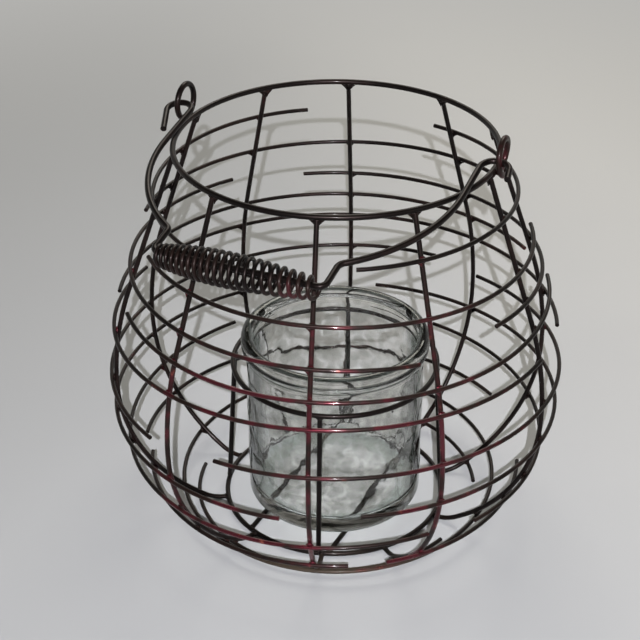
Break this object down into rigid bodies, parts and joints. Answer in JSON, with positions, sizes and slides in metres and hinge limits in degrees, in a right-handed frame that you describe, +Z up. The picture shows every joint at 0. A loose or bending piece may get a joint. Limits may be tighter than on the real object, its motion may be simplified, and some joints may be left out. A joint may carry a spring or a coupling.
{
  "type": "hurricane candle holder",
  "caption": "Round wire cage candle holder with a hinged bail, a loose coil grip and a glass jar that lifts out of its wire holder.",
  "frame": {"origin": "middle of the footprint, on the surface that the holder stands on", "axes": "+Z up; X along the hinge line of the bail, from the left eyelet to the right one; -Y is the front, where the bail and its grip lie at rest"},
  "size_m": [0.2673, 0.2685, 0.2571],
  "materials": {
    "rim_wire": "dark brown lacquer, worn to a red copper sheen",
    "cage_wire": "dark brown lacquer, worn to a red copper sheen",
    "holder_wire": "dark brown lacquer",
    "eyelet_wire": "dark brown lacquer, worn to a red copper sheen",
    "bail_wire": "dark brown lacquer, smooth",
    "coil_wire": "dark brown lacquer, smooth",
    "clear_glass": "clear, hammered and wavy"
  },
  "bodies": {
    "basket": {"rim_ring": "rim_wire", "rib_01": "cage_wire", "rib_02": "cage_wire", "rib_03": "cage_wire", "rib_04": "cage_wire", "rib_05": "cage_wire", "rib_06": "cage_wire", "rib_07": "cage_wire", "rib_08": "cage_wire", "rib_09": "cage_wire", "rib_10": "cage_wire", "row1_hoop_right": "cage_wire", "row1_hoop_left": "cage_wire", "row2_hoop_back": "cage_wire", "row2_hoop_front": "cage_wire", "row3_hoop_left": "cage_wire", "row3_hoop_right": "cage_wire", "row4_hoop_back": "cage_wire", "row4_hoop_front": "cage_wire", "row5_hoop_front": "cage_wire", "row5_hoop_back": "cage_wire", "row6_hoop_left": "cage_wire", "row6_hoop_right": "cage_wire", "row7_hoop_left": "cage_wire", "row7_hoop_right": "cage_wire", "row8_hoop_left": "cage_wire", "row8_hoop_right": "cage_wire", "row9_hoop_back": "cage_wire", "row9_hoop_left": "cage_wire", "row9_hoop_right": "cage_wire", "foot_hoop": "cage_wire", "base_hoop_left": "cage_wire", "base_hoop_right": "cage_wire", "holder_top_ring": "holder_wire", "holder_base_ring": "holder_wire", "holder_post_1": "holder_wire", "holder_post_2": "holder_wire", "holder_post_3": "holder_wire", "holder_post_4": "holder_wire", "base_wire_left": "holder_wire", "base_wire_right": "holder_wire", "eyelet_left": "eyelet_wire", "eyelet_right": "eyelet_wire"},
    "bail": {"bail_wire": "bail_wire"},
    "grip": {"grip_coil": "coil_wire"},
    "jar": {"glass_jar": "clear_glass"}
  },
  "joints": [
    {"name": "bail_hinge", "type": "hinge", "parent": "basket", "child": "bail", "pos_m": [0, 0, 0.24516], "axis": [-1, 0, 0], "range_deg": [0, 202]},
    {"name": "grip_spin", "type": "hinge", "parent": "bail", "child": "grip", "pos_m": [0, -0.12565, 0.21912], "axis": [1, 0, 0], "continuous": true},
    {"name": "jar_lift", "type": "slide", "parent": "basket", "child": "jar", "axis": [0, 0, 1], "range_m": [0, 0.245]}
  ]
}
